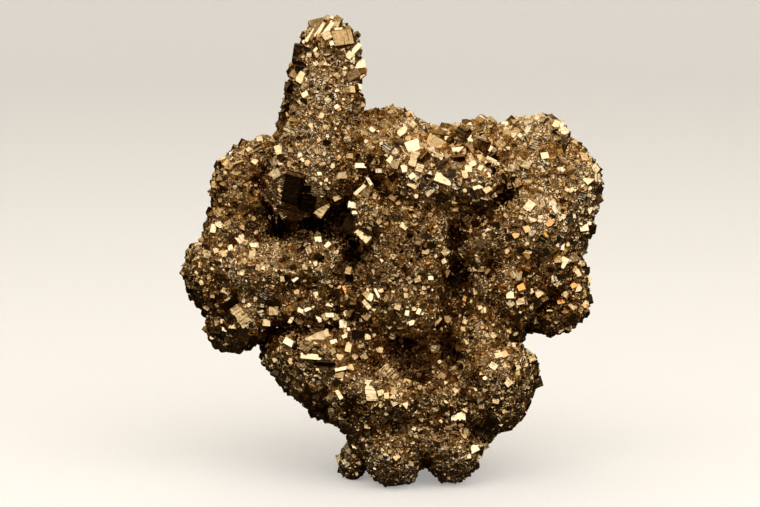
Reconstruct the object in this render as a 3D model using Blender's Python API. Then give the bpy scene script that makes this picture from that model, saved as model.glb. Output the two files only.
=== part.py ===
"""Pyrite specimen: one intergrown cluster with a blunt finger, standing on its own feet.

The cluster grew outwards from a narrow seat. It is one solid: rounded lobes of druse that run into each
other, an uneven skin, and the larger crystals that grew into it.

Layout. The lobes are laid out on a sheet that faces the front of the specimen, in grid squares of 0.25 mm:
"across" and "down" are counted from the sheet's top left corner, and "back" runs away behind the sheet.
The sheet is drawn in perspective, as seen from an eye point in front of it, and it leans back by LEAN.

Form. The lobes are added up as one smooth distance field, the hollows between them are taken out of it,
its unevenness is added, and the surface where it is zero becomes the body.
"""

import math

import bmesh
import bpy
import numpy as np
import openvdb
from mathutils import Euler, Matrix, Vector, noise
from mathutils.bvhtree import BVHTree

# ---------------------------------------------------------------- driving dimensions
GRID = 0.00025  # one grid square of the layout sheet, in metres
EYE_BACK = 2400.0  # distance from the eye point to the sheet, in grid squares (0.6 m)
EYE_ACROSS, EYE_DOWN = 380.0, 253.5  # where the eye's axis meets the sheet
FOOT_ACROSS, FOOT_DOWN = 392.0, 490.0  # the sheet point over the layout's zero
LEAN = math.radians(8.0)  # how far the sheet leans back
SEAT = 5.5  # height of the flat seat above the layout's zero, in grid squares
ORIGIN = Vector((0.00069, 0.01881, 0.0))  # the part's own origin, under its middle, in the layout's world
CELL = 3.0  # the field's cell, in grid squares
FIELD = ((166, 4, -96), (618, 506, 178))  # the field's first and last corner: across, down, back
BLEND = 14.0  # how far from each other lobes begin to run together, in grid squares
COBBLES = ((36.0, 7.0), (17.0, 3.2))  # spacing and height of the rounded knobs, in grid squares
SWELL = (50.0, 5.0)  # wavelength and height of the slow unevenness
BODY_FACES = 5600  # triangles kept on the lobes
NAME = "pyrite_cluster"

# ---------------------------------------------------------------- the lobes
# name, across, down, back, half-width, half-height, half-depth, turn in the sheet (degrees, clockwise)
LOBES = [
    # seat and feet
    ("foot_left", 353, 461, 26, 14, 19, 20, 12),
    ("foot_middle", 392, 455, -12, 27, 32, 32, 0),
    ("foot_right", 454, 451, -2, 30, 32, 32, -14),
    ("foot_back", 412, 438, 100, 44, 37, 40, 0),
    ("ankle", 410, 432, 0, 56, 28, 40, 0),
    ("ankle_left", 374, 438, 12, 17, 21, 28, 0),
    ("ankle_back", 412, 410, 55, 54, 44, 46, 0),
    # lower front
    ("lap_middle", 398, 402, -20, 34, 26, 40, 0),
    ("lap_right", 440, 400, -8, 38, 32, 38, 0),
    ("lap_back", 404, 372, 6, 54, 26, 30, 0),
    ("hip_left", 318, 374, 2, 60, 29, 42, 28),
    ("hip_left_rim", 309, 382, 12, 26, 20, 28, 35),
    ("hip_left_face", 322, 358, -14, 42, 22, 34, 20),
    ("hip_left_low", 331, 403, 8, 26, 19, 26, 14),
    ("hip_left_tip", 288, 351, 10, 26, 21, 30, 0),
    ("hip_left_inner", 358, 395, -8, 40, 34, 43, 10),
    ("ledge_left", 342, 349, -4, 48, 18, 32, 4),
    ("hip_right", 489, 380, 0, 37, 48, 44, 0),
    ("hip_right_rim", 516, 381, 6, 23, 31, 36, 0),
    ("hip_right_low", 495, 406, 12, 22, 22, 32, 0),
    ("hip_right_top", 480, 330, -5, 28, 28, 30, 0),
    ("heel_right", 477, 430, 22, 19, 18, 28, 0),
    # middle
    ("core", 400, 265, 34, 122, 130, 46, 0),
    ("front_mass", 428, 224, -18, 54, 50, 48, 0),
    ("tongue", 405, 266, -26, 42, 64, 38, 0),
    ("tongue_tip", 408, 308, -26, 32, 28, 34, 0),
    ("tongue_step", 376, 300, -20, 20, 32, 28, 0),
    ("tongue_foot", 366, 334, -14, 24, 20, 26, 0),
    ("column_right", 482, 285, -4, 18, 58, 28, 0),
    ("right_low", 508, 288, -6, 30, 38, 34, 0),
    ("right_low_back", 560, 292, 50, 32, 38, 38, 0),
    ("right_low_tip", 549, 316, 46, 21, 19, 26, 0),
    ("right_waist", 557, 247, 40, 24, 25, 34, 0),
    ("right_middle", 530, 228, 2, 38, 40, 42, 0),
    ("right_join", 493, 232, -14, 24, 30, 30, 0),
    ("right_middle_low", 547, 268, 10, 25, 28, 34, 0),
    ("left_middle", 262, 272, -2, 46, 34, 44, 0),
    ("left_ball", 221, 279, 20, 37, 37, 34, 0),
    ("left_ball_top", 209, 260, 18, 20, 21, 24, 0),
    ("left_ball_low", 233, 320, 15, 30, 32, 30, 0),
    ("left_inner", 320, 264, -8, 38, 33, 36, 0),
    ("left_join", 356, 292, -18, 24, 30, 30, 0),
    ("left_step", 240, 230, 18, 36, 20, 30, 0),
    ("left_inner_low", 308, 302, 2, 44, 28, 34, 0),
    ("left_facets", 245, 316, 0, 28, 24, 30, 0),
    # upper
    ("left_back", 244, 187, 50, 34, 42, 40, 0),
    ("left_back_inner", 262, 164, 38, 18, 27, 30, 0),
    ("left_back_low", 241, 206, 26, 34, 35, 36, 0),
    ("head", 447, 180, -34, 50, 32, 42, 0),
    ("head_left", 415, 172, -29, 32, 32, 38, 0),
    ("head_lip", 474, 188, -38, 25, 22, 32, -12),
    ("cheek_left", 372, 214, -36, 27, 31, 32, 0),
    ("shoulder", 399, 150, 4, 38, 40, 43, 0),
    ("shoulder_left", 365, 150, 0, 34, 37, 43, 0),
    ("shoulder_right", 443, 150, 12, 28, 26, 32, 0),
    ("right_upper", 525, 175, 42, 60, 54, 52, 0),
    ("right_upper_rim", 576, 176, 36, 25, 30, 32, 0),
    ("right_upper_edge", 569, 203, 36, 30, 49, 40, 0),
    ("right_upper_inner", 475, 159, 26, 33, 41, 38, 0),
    ("right_upper_knob", 546, 142, 36, 20, 21, 26, 20),
    # the finger's root
    ("finger_root", 303, 182, -22, 35, 36, 38, 8),
    ("finger_web", 338, 178, -10, 34, 34, 38, -20),
    # behind
    ("back_right", 447, 225, 92, 80, 75, 50, 0),
    ("back_left", 326, 245, 86, 70, 72, 48, 0),
    ("back_low", 402, 335, 84, 78, 66, 50, 0),
    ("back_top", 372, 168, 62, 56, 46, 40, 0),
    ("back_ball_high", 474, 188, 124, 34, 30, 28, 0),
    ("back_ball_middle", 418, 238, 134, 30, 36, 24, 20),
    ("back_ball_right", 505, 238, 108, 30, 34, 30, 0),
    ("back_ball_left", 300, 222, 112, 34, 32, 30, 0),
    ("back_ball_side", 262, 262, 74, 26, 30, 34, 0),
    ("back_ball_top", 366, 186, 92, 30, 26, 26, 0),
    ("back_ball_low", 348, 300, 122, 36, 30, 26, -15),
    ("back_ball_hip", 458, 318, 122, 36, 34, 28, 0),
    ("back_ball_knee", 392, 366, 126, 34, 28, 26, 0),
    ("back_hip", 494, 305, 66, 42, 48, 42, 0),
    ("back_knee", 340, 345, 60, 48, 40, 40, 0),
]

# The finger: a blunt tapering stalactite, as round sections along its length.
# across, down, back, radius
FINGER = [
    (328.5, 54.0, -12, 31.8),
    (327.6, 68, -12, 34.2),
    (326.0, 82, -12, 35.8),
    (324, 97, -13, 38.0),
    (322.3, 113, -14, 40.2),
    (318.6, 132, -15, 42.6),
    (313, 152, -16, 44.0),
]

# Hollows between the lobes, in the same columns as LOBES.
HOLLOWS = [
    ("under_finger", 318, 226, -44, 24, 9, 26, 14),
    ("beside_cheek", 341, 224, -50, 6, 20, 22, -14),
    ("trough_right", 453, 276, -46, 8, 42, 28, 2),
    ("under_tongue", 419, 366, -46, 34, 17, 34, 0),
    ("gap_right", 504, 198, -22, 8, 7, 26, 0),
    ("under_head", 456, 217, -78, 36, 6, 16, -10),
    ("step_left", 325, 317, -48, 32, 5, 14, -6),
    ("feet_middle", 421, 485, -34, 4, 13, 30, 0),
    ("back_cleft", 388, 270, 152, 8, 40, 16, 25),
    ("back_shelf", 430, 284, 152, 40, 6, 14, -6),
    ("instep", 352, 412, -46, 10, 10, 18, 0),
]


# The larger crystals: across, down, width, form, then the way its main face looks, as the parts of a unit vector that
# point right and up on the sheet, and the turn about that direction in degrees. Each is as deep as the body is there.
CRYSTALS = [
    # the finger's cap and edges
    (314, 33, 19, "plates", 0.10, 0.45, 55),
    (342, 38, 21, "cube", 0.20, 0.35, 15),
    (298, 54, 16, "plates", -0.55, 0.20, 15),
    (299, 75, 12, "cube", -0.30, 0.40, 30),
    (357, 66, 12, "cube", 0.24, 0.40, 8),
    (357, 77, 12, "cube", 0.45, 0.15, 35),
    (360, 92, 11, "cube", 0.22, 0.42, -12),
    # under the finger
    (305, 195, 37, "dodecahedron", -0.20, 0.10, 20),
    (321, 210, 18, "cube", 0.30, -0.20, 25),
    (358, 169, 15, "plates", 0.20, 0.40, 60),
    (390, 169, 14, "plates", 0.15, 0.45, 80),
    # the head's top
    (412, 148, 16, "cube", 0.20, 0.42, -14),
    (436, 144, 21, "dodecahedron", -0.10, 0.20, 10),
    (458, 151, 14, "cube", 0.22, 0.44, 4),
    (471, 139, 13, "cube", -0.20, 0.60, 30),
    (488, 150, 16, "dodecahedron", 0.30, 0.25, 25),
    (408, 169, 16, "cube", 0.10, 0.30, 30),
    (480, 170, 14, "cube", 0.35, 0.10, 50),
    # the cheek
    (355, 209, 16, "cube", 0.16, 0.40, 30),
    (363, 231, 28, "dodecahedron", 0.25, -0.10, 40),
    # the tongue and the row beside it
    (380, 288, 13, "cube", 0.22, 0.40, 10),
    (300, 311, 12, "cube", 0.20, 0.42, 25),
    (320, 318, 13, "cube", 0.10, 0.30, 50),
    (338, 312, 12, "cube", 0.25, 0.45, 5),
    (352, 322, 12, "cube", 0.18, 0.36, -20),
    # right
    (518, 287, 12, "cube", 0.22, 0.40, 20),
    (507, 299, 13, "cube", 0.18, 0.44, -8),
    (535, 291, 14, "plates", 0.22, 0.36, 30),
    (518, 311, 14, "dodecahedron", 0.10, 0.20, 20),
    (558, 263, 13, "cube", 0.24, 0.38, 15),
    (543, 157, 13, "cube", 0.20, 0.42, 40),
    (556, 124, 12, "cube", 0.20, 0.45, 20),
    (490, 421, 20, "plates", 0.50, -0.20, 55),
    # left
    (215, 234, 12, "cube", 0.10, 0.50, 20),
    (240, 310, 23, "dodecahedron", -0.15, -0.20, 10),
    (258, 312, 17, "cube", -0.05, -0.25, 30),
    (283, 342, 15, "cube", 0.20, 0.40, 45),
    (317, 341, 16, "plates", 0.15, 0.50, 8),
    (307, 394, 18, "plates", -0.20, -0.25, 60),
    # the lap and the feet
    (371, 389, 22, "plates", 0.20, 0.40, 6),
    (387, 377, 18, "cube", 0.40, 0.10, 35),
    (345, 405, 15, "dodecahedron", -0.20, -0.20, 0),
    (458, 411, 17, "cube", 0.22, 0.40, 4),
    (475, 445, 13, "cube", 0.20, 0.42, -15),
]
SIDE_CRYSTALS = 40  # further large crystals on the flanks and the back
SIDE_WIDTHS = (11.0, 20.0)
SUNK = 0.30  # how much of a crystal's width lies inside the body, below its middle


# ---------------------------------------------------------------- layout to world
def place(across, down, back):
    """A point of the layout sheet, in grid squares, as a world point in metres."""
    f = 1.0 + back / EYE_BACK
    a = EYE_ACROSS + (across - EYE_ACROSS) * f - FOOT_ACROSS
    u = FOOT_DOWN - EYE_DOWN - (down - EYE_DOWN) * f
    y = u * math.sin(LEAN) + back * math.cos(LEAN)
    z = u * math.cos(LEAN) - back * math.sin(LEAN) - SEAT
    return Vector((a, y, z)) * GRID - ORIGIN


# ---------------------------------------------------------------- the distance field
def grid_axes(cell):
    return [np.arange(lo, hi + cell, cell, dtype=np.float32) for lo, hi in zip(*FIELD)]


def window(axes, centre, reach):
    """The slices of the field within reach of a centre."""
    return tuple(slice(*np.searchsorted(ax, (c - r, c + r))) for ax, c, r in zip(axes, centre, reach))


def ellipsoid_field(axes, cut, centre, halves, turn):
    a, d, b = (ax[s] - c for ax, s, c in zip(axes, cut, centre))
    a, d, b = a[:, None, None], d[None, :, None], b[None, None, :]
    t = math.radians(turn)
    w, h = a * math.cos(t) + d * math.sin(t), d * math.cos(t) - a * math.sin(t)
    w, h, b = w / halves[0], h / halves[1], b / halves[2]
    k0 = np.sqrt(w * w + h * h + b * b) + 1e-6
    k1 = np.sqrt((w / halves[0]) ** 2 + (h / halves[1]) ** 2 + (b / halves[2]) ** 2) + 1e-6
    return k0 * (k0 - 1.0) / k1


def cone_field(axes, cut, first, last):
    """A round cone between the balls at its ends, each across, down, back, radius."""
    p0, p1 = np.array(first[:3], np.float32), np.array(last[:3], np.float32)
    a, d, b = (ax[s] - c for ax, s, c in zip(axes, cut, p0))
    a, d, b = a[:, None, None], d[None, :, None], b[None, None, :]
    n = p1 - p0
    t = np.clip((a * n[0] + d * n[1] + b * n[2]) / float(n @ n), 0.0, 1.0)
    r = first[3] + (last[3] - first[3]) * t
    return np.sqrt((a - n[0] * t) ** 2 + (d - n[1] * t) ** 2 + (b - n[2] * t) ** 2) - r


def blend(a, b, reach):
    """The lower of two fields, rounded where they meet."""
    h = np.maximum(reach - np.abs(a - b), 0.0) / reach
    return np.minimum(a, b) - h * h * reach * 0.25


def lobes_field(axes):
    field = np.full([len(ax) for ax in axes], 24.0, np.float32)
    for _, across, down, back, w, h, d, turn in LOBES:
        cut = window(axes, (across, down, back), [max(w, h, d) + 24.0] * 3)
        shape = ellipsoid_field(axes, cut, (across, down, back), (w, h, d), turn)
        field[cut] = blend(field[cut], shape, BLEND)
    for first, last in zip(FINGER, FINGER[1:]):
        middle = [(p + q) / 2 for p, q in zip(first, last)]
        cut = window(axes, middle[:3], [middle[3] + 40.0] * 3)
        field[cut] = blend(field[cut], cone_field(axes, cut, first, last), 3.0)
    for _, across, down, back, w, h, d, turn in HOLLOWS:
        cut = window(axes, (across, down, back), [max(w, h, d) + 12.0] * 3)
        shape = ellipsoid_field(axes, cut, (across, down, back), (w, h, d), turn)
        field[cut] = -blend(-field[cut], shape, BLEND)
    return field


def uneven(field, axes, cobbles, swell):
    """Adds rounded knobs and a slow unevenness to the field, near its surface."""
    near = np.argwhere(np.abs(field) < 14.0)
    spots = np.stack([ax[near[:, k]] for k, ax in enumerate(axes)], axis=1)
    out = np.zeros(len(near), np.float32)
    for i, spot in enumerate(spots.tolist()):
        p = Vector(spot)
        total = swell[1] * noise.noise(p / swell[0])
        warped = p + 4.0 * noise.noise_vector(p / 18.0)
        for spacing, height in cobbles:
            away = noise.voronoi(warped / spacing)[0][0]
            total += height * (0.62 - min(away, 1.0))
        out[i] = total
    field[tuple(near.T)] -= out
    return field


def surface(field, axes, cell, name):
    """The surface where the field is zero, as a closed mesh in world metres."""
    grid = openvdb.FloatGrid(24.0)
    grid.copyFromArray(field.astype(np.float32))
    points, quads = grid.convertToQuads(0.0)
    points = points * cell + np.array([ax[0] for ax in axes])
    mesh = bpy.data.meshes.new(name)
    mesh.from_pydata([place(*p) for p in points.tolist()], [], quads.tolist())
    bm = bmesh.new()
    bm.from_mesh(mesh)
    bmesh.ops.recalc_face_normals(bm, faces=bm.faces)
    if bm.calc_volume(signed=True) < 0:
        bmesh.ops.reverse_faces(bm, faces=bm.faces)
    bm.to_mesh(mesh)
    bm.free()
    return mesh


# ---------------------------------------------------------------- crystals
def sheet_axes():
    """The sheet's right, up and forward directions in the world."""
    right = Vector((1, 0, 0))
    up = Vector((0, math.sin(LEAN), math.cos(LEAN)))
    return Matrix((right, up, right.cross(up))).transposed()


def facing(right, up, spin):
    """The turn that points a crystal's own Z along a direction, given by its parts to the right and up, then spins it."""
    z = Vector((right, up, math.sqrt(1 - right * right - up * up)))
    x = (Vector((1, 0, 0)) - z * z.x).normalized()
    return Matrix((x, z.cross(x), z)).transposed() @ Matrix.Rotation(math.radians(spin), 3, "Z")


def form_points(form):
    """The corners of a crystal about one unit wide."""
    if form == "dodecahedron":  # pyritohedron: twelve five-sided faces
        h = 0.5
        short, tall = 1.0 - h * h, 1.0 + h
        corners = [Vector((x, y, z)) for x in (-1, 1) for y in (-1, 1) for z in (-1, 1)]
        for p in (-1, 1):
            for q in (-1, 1):
                corners += [Vector((0, p * tall, q * short)), Vector((p * short, 0, q * tall)), Vector((p * tall, q * short, 0))]
        return [c / (2 * tall) for c in corners]
    if form == "plates":  # stacked plates, as coarse striation
        corners = []
        for x, half in ((-0.5, 0.40), (-0.17, 0.50), (0.17, 0.44), (0.5, 0.34)):
            corners += [Vector((x, y * half, z * 0.42)) for y in (-1, 1) for z in (-1, 1)]
        return corners
    return [Vector((x, y, z)) * 0.46 for x in (-1, 1) for y in (-1, 1) for z in (-1, 1)]


def add_crystal(bm, centre, width, form, turn):
    new = [bm.verts.new(centre + turn @ (c * width)) for c in form_points(form)]
    made = bmesh.ops.convex_hull(bm, input=new)
    inside = [v for v in made["geom_interior"] if isinstance(v, bmesh.types.BMVert)]
    bmesh.ops.delete(bm, geom=inside, context="VERTS")


def crystals_mesh(body):
    tree = BVHTree.FromPolygons([v.co for v in body.vertices], [p.vertices[:] for p in body.polygons])
    axes = sheet_axes()
    bm = bmesh.new()
    for across, down, width, form, right, up, spin in CRYSTALS:
        start = place(across, down, -400)
        aim = (place(across, down, 400) - start).normalized()
        spot, normal, _, _ = tree.ray_cast(start, aim)
        if spot is None:
            continue
        if normal.dot(aim) > 0:
            normal = -normal
        turn = axes @ facing(right, up, spin)
        add_crystal(bm, spot - normal * (SUNK * 0.5 * width * GRID), width * GRID, form, turn)
    # the flanks and the back: aimed at the middle from all round, away from the front and from the seat
    middle = place(400, 260, 34)
    for k in range(SIDE_CRYSTALS):
        height = 0.92 - 1.5 * (k + 0.5) / SIDE_CRYSTALS
        angle = k * math.pi * (3.0 - math.sqrt(5.0))
        out = Vector((math.cos(angle), math.sin(angle), 0)) * math.sqrt(1 - height * height) + Vector((0, 0, height))
        if out.y < 0.15:
            out.y = 0.3 - out.y
            out.normalize()
        spot, normal, _, _ = tree.ray_cast(middle + out * 0.2, -out)
        if spot is None or spot.z < 0.008:
            continue
        width = SIDE_WIDTHS[0] + (SIDE_WIDTHS[1] - SIDE_WIDTHS[0]) * ((k * 7) % 11) / 10
        turn = Euler((k * 1.3, k * 2.1, k * 0.7)).to_matrix()
        form = ("cube", "dodecahedron", "cube", "plates")[k % 4]
        add_crystal(bm, spot - normal * (SUNK * 0.5 * width * GRID), width * GRID, form, turn)
    bmesh.ops.recalc_face_normals(bm, faces=bm.faces)
    mesh = bpy.data.meshes.new("crystals")
    bm.to_mesh(mesh)
    bm.free()
    return mesh


def main():
    for obj in list(bpy.data.objects):
        bpy.data.objects.remove(obj)
    axes = grid_axes(CELL)
    body = surface(uneven(lobes_field(axes), axes, COBBLES, SWELL), axes, CELL, NAME)

    obj = bpy.data.objects.new(NAME, body)
    bpy.context.scene.collection.objects.link(obj)
    thin = obj.modifiers.new("facets", "DECIMATE")
    body.calc_loop_triangles()
    thin.ratio = BODY_FACES / len(body.loop_triangles)
    # the larger crystals
    crystals = bpy.data.objects.new("crystals", crystals_mesh(body))
    bpy.context.scene.collection.objects.link(crystals)
    crystals.hide_render = True
    crystals.display_type = "WIRE"
    grown = obj.modifiers.new("crystals", "BOOLEAN")
    grown.operation = "UNION"
    grown.solver = "EXACT"
    grown.use_self = True
    grown.object = crystals
    # the flat seat
    cutter_mesh = bpy.data.meshes.new("seat_cut")
    cb = bmesh.new()
    bmesh.ops.create_cube(cb, size=1.0, matrix=Matrix.Translation((0, 0, -0.02)) @ Matrix.Diagonal((0.3, 0.3, 0.04, 1)))
    cb.to_mesh(cutter_mesh)
    cb.free()
    cutter = bpy.data.objects.new("seat_cut", cutter_mesh)
    bpy.context.scene.collection.objects.link(cutter)
    cutter.hide_render = True
    cutter.display_type = "WIRE"
    cut = obj.modifiers.new("seat", "BOOLEAN")
    cut.operation = "DIFFERENCE"
    cut.solver = "EXACT"
    cut.object = cutter

    mat = bpy.data.materials.new("pyrite")
    mat.use_nodes = True
    p = mat.node_tree.nodes["Principled BSDF"]
    p.inputs["Base Color"].default_value = (0.62, 0.48, 0.27, 1)
    p.inputs["Metallic"].default_value = 1.0
    p.inputs["Roughness"].default_value = 0.3
    body.materials.append(mat)


main()
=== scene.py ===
"""Looks of the pyrite specimen: a skin of druse, thousands of small crystals and the larger ones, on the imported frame.

The layout is the CAD part's own: a sheet of 0.25 mm squares that faces the front of the specimen. "across" and
"down" are counted from its top left corner, and "back" runs away behind it.
"""

import math

import bpy
import numpy as np
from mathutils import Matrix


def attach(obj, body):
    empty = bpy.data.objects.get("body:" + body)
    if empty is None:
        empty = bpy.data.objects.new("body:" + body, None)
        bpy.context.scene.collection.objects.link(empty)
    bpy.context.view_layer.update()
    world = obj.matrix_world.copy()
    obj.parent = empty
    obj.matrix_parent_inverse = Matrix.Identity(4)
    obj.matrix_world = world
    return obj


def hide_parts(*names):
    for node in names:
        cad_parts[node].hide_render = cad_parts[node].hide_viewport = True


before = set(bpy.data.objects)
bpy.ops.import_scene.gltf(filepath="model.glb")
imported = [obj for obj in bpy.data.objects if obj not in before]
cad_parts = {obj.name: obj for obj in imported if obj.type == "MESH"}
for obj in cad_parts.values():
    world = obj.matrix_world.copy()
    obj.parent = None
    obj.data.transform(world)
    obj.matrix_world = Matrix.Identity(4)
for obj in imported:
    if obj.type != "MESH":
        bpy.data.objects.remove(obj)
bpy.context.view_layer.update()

import openvdb
from mathutils import Euler, Matrix, Vector, noise
from mathutils.bvhtree import BVHTree
from mathutils.kdtree import KDTree

GRID = 0.00025
EYE_BACK = 2400.0
EYE_ACROSS, EYE_DOWN = 380.0, 253.5
FOOT_ACROSS, FOOT_DOWN = 392.0, 490.0
LEAN = math.radians(8.0)
SEAT = 5.5
ORIGIN = Vector((0.00069, 0.01881, 0.0))
CELL = 3.0
FIELD = ((166, 4, -96), (618, 506, 178))
BLEND = 14.0
COBBLES = ((36.0, 7.0), (17.0, 3.0))
ROUGH = ((13.0, 2.6), (6.0, 1.4))  # wavelength and height of the scene's own finer unevenness
SWELL = (50.0, 5.0)
SUNK = 0.30
SKIN = 2.6  # how far the ground between the crystals lies under the CAD's surface, in squares
rng = np.random.default_rng(20)

# ---------------------------------------------------------------- the lobes
# name, across, down, back, half-width, half-height, half-depth, turn in the sheet (degrees, clockwise)
LOBES = [
    # seat and feet
    ("foot_left", 353, 461, 26, 14, 19, 20, 12),
    ("foot_middle", 392, 455, -12, 27, 32, 32, 0),
    ("foot_right", 454, 451, -2, 30, 32, 32, -14),
    ("foot_back", 412, 438, 100, 44, 37, 40, 0),
    ("ankle", 410, 432, 0, 56, 28, 40, 0),
    ("ankle_left", 374, 438, 12, 17, 21, 28, 0),
    ("ankle_back", 412, 410, 55, 54, 44, 46, 0),
    # lower front
    ("lap_middle", 398, 402, -20, 34, 26, 40, 0),
    ("lap_right", 440, 400, -8, 38, 32, 38, 0),
    ("lap_back", 404, 372, 6, 54, 26, 30, 0),
    ("hip_left", 318, 374, 2, 60, 29, 42, 28),
    ("hip_left_rim", 309, 382, 12, 26, 20, 28, 35),
    ("hip_left_face", 322, 358, -14, 42, 22, 34, 20),
    ("hip_left_low", 331, 403, 8, 26, 19, 26, 14),
    ("hip_left_tip", 288, 351, 10, 26, 21, 30, 0),
    ("hip_left_inner", 358, 395, -8, 40, 34, 43, 10),
    ("ledge_left", 342, 349, -4, 48, 18, 32, 4),
    ("hip_right", 489, 380, 0, 37, 48, 44, 0),
    ("hip_right_rim", 516, 381, 6, 23, 31, 36, 0),
    ("hip_right_low", 495, 406, 12, 22, 22, 32, 0),
    ("hip_right_top", 480, 330, -5, 28, 28, 30, 0),
    ("heel_right", 477, 430, 22, 19, 18, 28, 0),
    # middle
    ("core", 400, 265, 34, 122, 130, 46, 0),
    ("front_mass", 428, 224, -18, 54, 50, 48, 0),
    ("tongue", 405, 266, -26, 42, 64, 38, 0),
    ("tongue_tip", 408, 308, -26, 32, 28, 34, 0),
    ("tongue_step", 376, 300, -20, 20, 32, 28, 0),
    ("tongue_foot", 366, 334, -14, 24, 20, 26, 0),
    ("column_right", 482, 285, -4, 18, 58, 28, 0),
    ("right_low", 508, 288, -6, 30, 38, 34, 0),
    ("right_low_back", 560, 292, 50, 32, 38, 38, 0),
    ("right_low_tip", 549, 316, 46, 21, 19, 26, 0),
    ("right_waist", 557, 247, 40, 24, 25, 34, 0),
    ("right_middle", 530, 228, 2, 38, 40, 42, 0),
    ("right_join", 493, 232, -14, 24, 30, 30, 0),
    ("right_middle_low", 547, 268, 10, 25, 28, 34, 0),
    ("left_middle", 262, 272, -2, 46, 34, 44, 0),
    ("left_ball", 221, 279, 20, 37, 37, 34, 0),
    ("left_ball_top", 209, 260, 18, 20, 21, 24, 0),
    ("left_ball_low", 233, 320, 15, 30, 32, 30, 0),
    ("left_inner", 320, 264, -8, 38, 33, 36, 0),
    ("left_join", 356, 292, -18, 24, 30, 30, 0),
    ("left_step", 240, 230, 18, 36, 20, 30, 0),
    ("left_inner_low", 308, 302, 2, 44, 28, 34, 0),
    ("left_facets", 245, 316, 0, 28, 24, 30, 0),
    # upper
    ("left_back", 244, 187, 50, 34, 42, 40, 0),
    ("left_back_inner", 262, 164, 38, 18, 27, 30, 0),
    ("left_back_low", 241, 206, 26, 34, 35, 36, 0),
    ("head", 447, 180, -34, 50, 32, 42, 0),
    ("head_left", 415, 172, -29, 32, 32, 38, 0),
    ("head_lip", 474, 188, -38, 25, 22, 32, -12),
    ("cheek_left", 372, 214, -36, 27, 31, 32, 0),
    ("shoulder", 399, 150, 4, 38, 40, 43, 0),
    ("shoulder_left", 365, 150, 0, 34, 37, 43, 0),
    ("shoulder_right", 443, 150, 12, 28, 26, 32, 0),
    ("right_upper", 525, 175, 42, 60, 54, 52, 0),
    ("right_upper_rim", 576, 176, 36, 25, 30, 32, 0),
    ("right_upper_edge", 569, 203, 36, 30, 49, 40, 0),
    ("right_upper_inner", 475, 159, 26, 33, 41, 38, 0),
    ("right_upper_knob", 546, 142, 36, 20, 21, 26, 20),
    # the finger's root
    ("finger_root", 303, 182, -22, 35, 36, 38, 8),
    ("finger_web", 338, 178, -10, 34, 34, 38, -20),
    # behind
    ("back_right", 447, 225, 92, 80, 75, 50, 0),
    ("back_left", 326, 245, 86, 70, 72, 48, 0),
    ("back_low", 402, 335, 84, 78, 66, 50, 0),
    ("back_top", 372, 168, 62, 56, 46, 40, 0),
    ("back_ball_high", 474, 188, 124, 34, 30, 28, 0),
    ("back_ball_middle", 418, 238, 134, 30, 36, 24, 20),
    ("back_ball_right", 505, 238, 108, 30, 34, 30, 0),
    ("back_ball_left", 300, 222, 112, 34, 32, 30, 0),
    ("back_ball_side", 262, 262, 74, 26, 30, 34, 0),
    ("back_ball_top", 366, 186, 92, 30, 26, 26, 0),
    ("back_ball_low", 348, 300, 122, 36, 30, 26, -15),
    ("back_ball_hip", 458, 318, 122, 36, 34, 28, 0),
    ("back_ball_knee", 392, 366, 126, 34, 28, 26, 0),
    ("back_hip", 494, 305, 66, 42, 48, 42, 0),
    ("back_knee", 340, 345, 60, 48, 40, 40, 0),
]

# The finger: a blunt tapering stalactite, as round sections along its length.
# across, down, back, radius
FINGER = [
    (328.5, 54.0, -12, 31.8),
    (327.6, 68, -12, 34.2),
    (326.0, 82, -12, 35.8),
    (324, 97, -13, 38.0),
    (322.3, 113, -14, 40.2),
    (318.6, 132, -15, 42.6),
    (313, 152, -16, 44.0),
]

# Hollows between the lobes, in the same columns as LOBES.
HOLLOWS = [
    ("under_finger", 318, 226, -44, 24, 9, 26, 14),
    ("beside_cheek", 341, 224, -50, 6, 20, 22, -14),
    ("trough_right", 453, 276, -46, 8, 42, 28, 2),
    ("under_tongue", 419, 366, -46, 34, 17, 34, 0),
    ("gap_right", 504, 198, -22, 8, 7, 26, 0),
    ("under_head", 456, 217, -78, 36, 6, 16, -10),
    ("step_left", 325, 317, -48, 32, 5, 14, -6),
    ("feet_middle", 421, 485, -34, 4, 13, 30, 0),
    ("back_cleft", 388, 270, 152, 8, 40, 16, 25),
    ("back_shelf", 430, 284, 152, 40, 6, 14, -6),
    ("instep", 352, 412, -46, 10, 10, 18, 0),
]

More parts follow.
